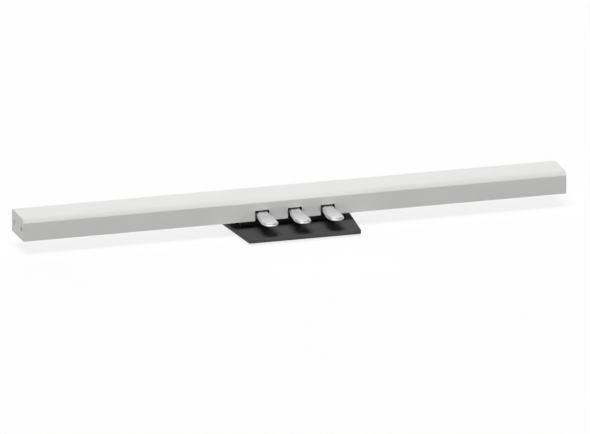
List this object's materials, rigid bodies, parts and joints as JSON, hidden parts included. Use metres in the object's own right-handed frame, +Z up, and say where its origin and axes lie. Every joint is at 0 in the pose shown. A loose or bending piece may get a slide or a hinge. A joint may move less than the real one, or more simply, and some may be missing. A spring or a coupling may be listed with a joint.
{
  "type": "piano pedal bar",
  "caption": "Cross bar for the stand of a digital piano, with soft, sostenuto and damper pedals over a flat base.",
  "frame": {"origin": "on the floor, under the middle of the whole unit's box", "axes": "+X along the bar towards the damper pedal, +Y towards the back, +Z up; the pedals point to -Y"},
  "size_m": [1.16, 0.16, 0.075],
  "materials": {
    "white_powder_coat": "satin white powder coat on steel sheet",
    "white_plastic": "fine-textured white moulding",
    "black_powder_coat": "fine-textured satin black powder coat",
    "black_plastic": "glass-filled black moulding",
    "black_lever": "black coated casting",
    "satin_chrome": "satin chrome plate on a zinc casting",
    "zinc_sheet": "zinc-plated sheet",
    "zinc_screw": "zinc-plated screw",
    "black_screw": "screw with a black oxide finish",
    "shaft_steel": "ground steel",
    "spring_steel": "spring steel",
    "foot_rubber": "matt black rubber",
    "felt": "pressed wool felt",
    "ivory_plastic": "natural acetal",
    "sensor_plastic": "dark blue moulding",
    "circuit_board": "green solder mask"
  },
  "bodies": {
    "unit": {"bar_shell": "white_powder_coat", "bar_tray_left": "zinc_sheet", "bar_tray_right": "zinc_sheet", "tray_screws": "zinc_screw", "end_cap_left": "white_plastic", "end_cap_right": "white_plastic", "end_bracket_left": "zinc_sheet", "end_bracket_right": "zinc_sheet", "end_bracket_screws": "zinc_screw", "base_pan": "black_powder_coat", "base_feet": "foot_rubber", "foot_screws": "zinc_screw", "pedal_chassis": "black_plastic", "chassis_screws": "zinc_screw", "shell_screws": "black_screw", "pivot_shaft": "shaft_steel", "shaft_clips": "spring_steel", "stop_rail": "black_powder_coat", "stop_rail_screws": "zinc_screw", "upper_stop_felts": "felt", "lower_stop_felts": "felt", "soft_spring": "spring_steel", "sostenuto_spring": "spring_steel", "damper_spring": "spring_steel", "soft_sensor": "sensor_plastic", "sostenuto_sensor": "sensor_plastic", "damper_sensor": "sensor_plastic", "signal_board": "circuit_board", "board_connector": "ivory_plastic", "board_screws": "zinc_screw", "cable_grommet": "foot_rubber"},
    "soft_pedal": {"soft_pedal": "satin_chrome", "soft_lever": "black_lever", "soft_bushes": "ivory_plastic", "soft_lever_screws": "zinc_screw"},
    "sostenuto_pedal": {"sostenuto_pedal": "satin_chrome", "sostenuto_lever": "black_lever", "sostenuto_bushes": "ivory_plastic", "sostenuto_lever_screws": "zinc_screw"},
    "damper_pedal": {"damper_pedal": "satin_chrome", "damper_lever": "black_lever", "damper_bushes": "ivory_plastic", "damper_lever_screws": "zinc_screw"},
    "soft_sensor_arm": {"soft_sensor_arm": "ivory_plastic"},
    "sostenuto_sensor_arm": {"sostenuto_sensor_arm": "ivory_plastic"},
    "damper_sensor_arm": {"damper_sensor_arm": "ivory_plastic"}
  },
  "joints": [
    {"name": "soft_press", "type": "hinge", "parent": "unit", "child": "soft_pedal", "pos_m": [-0.07, 0.055, 0.044], "axis": [1, 0, 0], "range_deg": [0, 6], "stiffness_Nm_per_rad": 8, "springref_deg": -8.59, "deforming": ["soft_spring"]},
    {"name": "sostenuto_press", "type": "hinge", "parent": "unit", "child": "sostenuto_pedal", "pos_m": [0, 0.055, 0.044], "axis": [1, 0, 0], "range_deg": [0, 6], "stiffness_Nm_per_rad": 8, "springref_deg": -8.59, "deforming": ["sostenuto_spring"]},
    {"name": "damper_press", "type": "hinge", "parent": "unit", "child": "damper_pedal", "pos_m": [0.07, 0.055, 0.044], "axis": [1, 0, 0], "range_deg": [0, 6], "stiffness_Nm_per_rad": 8, "springref_deg": -8.59, "deforming": ["damper_spring"]},
    {"name": "soft_sense", "type": "hinge", "parent": "unit", "child": "soft_sensor_arm", "pos_m": [-0.0595, 0.021, 0.044], "axis": [1, 0, 0], "range_deg": [-11, 0]},
    {"name": "sostenuto_sense", "type": "hinge", "parent": "unit", "child": "sostenuto_sensor_arm", "pos_m": [0.0105, 0.021, 0.044], "axis": [1, 0, 0], "range_deg": [-11, 0]},
    {"name": "damper_sense", "type": "hinge", "parent": "unit", "child": "damper_sensor_arm", "pos_m": [0.0805, 0.021, 0.044], "axis": [1, 0, 0], "range_deg": [-11, 0]}
  ],
  "couplings": [
    {"joint": "soft_sense", "follows": "soft_press", "ratio": -1.8},
    {"joint": "sostenuto_sense", "follows": "sostenuto_press", "ratio": -1.8},
    {"joint": "damper_sense", "follows": "damper_press", "ratio": -1.8}
  ]
}
